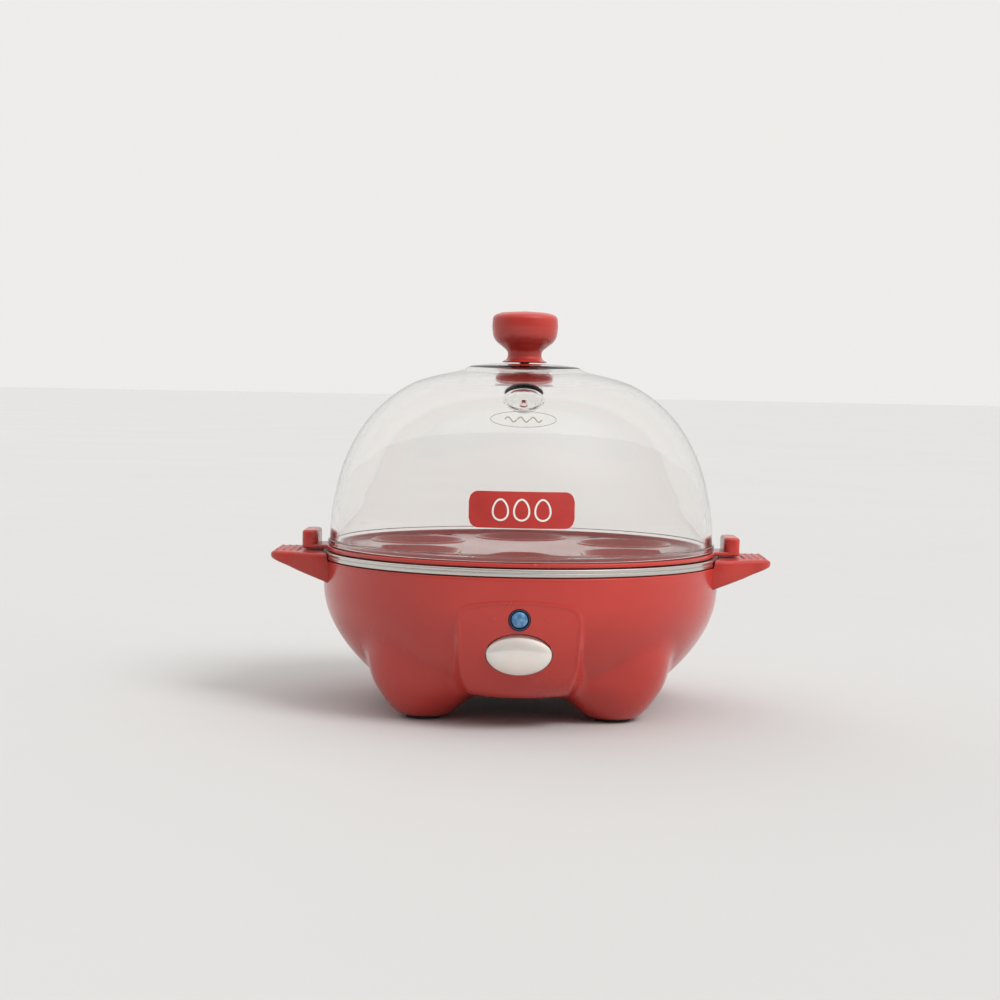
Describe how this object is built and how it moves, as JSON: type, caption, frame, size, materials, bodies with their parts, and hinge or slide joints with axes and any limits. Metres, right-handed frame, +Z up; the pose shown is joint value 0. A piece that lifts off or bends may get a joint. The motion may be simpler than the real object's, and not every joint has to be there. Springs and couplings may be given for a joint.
{
  "type": "egg cooker",
  "caption": "Compact egg cooker with a red bowl-shaped base, clear dome lid, lift-out egg tray, steel heating plate, side wing handles and one front push button.",
  "frame": {"origin": "on the surface it stands on, at the middle of the bounding box", "axes": "+Z up, +X to the right along the two wing handles, the button panel faces -Y"},
  "size_m": [0.18, 0.143, 0.1427],
  "materials": {
    "red_shell": "glossy moulded red plastic",
    "red_tray": "glossy moulded red plastic",
    "red_knob": "glossy moulded red plastic",
    "clear_dome": "clear moulded plastic",
    "plate_steel": "stainless steel, polished rim, fine turned lines in the dish",
    "button_pearl": "pearly silver plastic",
    "blue_lens": "blue clear plastic",
    "dark_trim": "fine grained dark plastic",
    "lamp": "clear white lamp body",
    "silicone": "soft white silicone",
    "gland_rubber": "black rubber",
    "foot_rubber": "dark rubber",
    "heater_steel": "heat tinted steel tube",
    "thermostat_metal": "stamped aluminium cup",
    "fastener_steel": "zinc plated steel",
    "ceramic": "matt glazed ceramic",
    "board_green": "solder-masked fibre board",
    "switch_black": "black plastic",
    "guide_plastic": "natural plastic",
    "lead_sleeve": "woven glass sleeve"
  },
  "bodies": {
    "base": {"base_housing": "red_shell", "bottom_cover": "dark_trim", "foot_1": "foot_rubber", "foot_2": "foot_rubber", "foot_3": "foot_rubber", "foot_4": "foot_rubber", "cover_screw_1": "fastener_steel", "cover_screw_2": "fastener_steel", "cover_screw_3": "fastener_steel", "plate_stay_1": "fastener_steel", "plate_stay_2": "fastener_steel", "plate_stay_3": "fastener_steel", "heating_plate": "plate_steel", "plate_seal": "silicone", "heater_element": "heater_steel", "thermostat": "thermostat_metal", "thermostat_strap": "fastener_steel", "thermal_fuse": "ceramic", "control_board": "board_green", "board_screw_1": "fastener_steel", "board_screw_2": "fastener_steel", "push_switch": "switch_black", "button_guide": "guide_plastic", "button_spring": "fastener_steel", "indicator_bezel": "dark_trim", "indicator_lens": "blue_lens", "indicator_led": "lamp", "buzzer": "switch_black", "terminal_block": "ceramic", "cord_gland": "gland_rubber", "lead_live": "lead_sleeve", "lead_switched": "lead_sleeve", "lead_return": "lead_sleeve", "lead_neutral": "lead_sleeve"},
    "tray": {"egg_tray": "red_tray"},
    "lid": {"lid_dome": "clear_dome", "lid_knob": "red_knob", "knob_washer": "red_knob", "knob_screw": "fastener_steel"},
    "button": {"power_button": "button_pearl"},
    "plunger": {"switch_plunger": "switch_black"}
  },
  "joints": [
    {"name": "tray_lift", "type": "slide", "parent": "base", "child": "tray", "axis": [0, 0, 1], "range_m": [0, 0.06]},
    {"name": "lid_lift", "type": "slide", "parent": "tray", "child": "lid", "axis": [0, 0, 1], "range_m": [0, 0.08]},
    {"name": "button_press", "type": "slide", "parent": "base", "child": "button", "axis": [0, 1, 0], "range_m": [0, 0.0025], "stiffness_N_per_m": 600, "springref_m": -0.001, "deforming": ["button_spring"]},
    {"name": "plunger_press", "type": "slide", "parent": "base", "child": "plunger", "axis": [0, 1, 0], "range_m": [0, 0.0025]}
  ],
  "couplings": [
    {"joint": "plunger_press", "follows": "button_press", "ratio": 1}
  ]
}
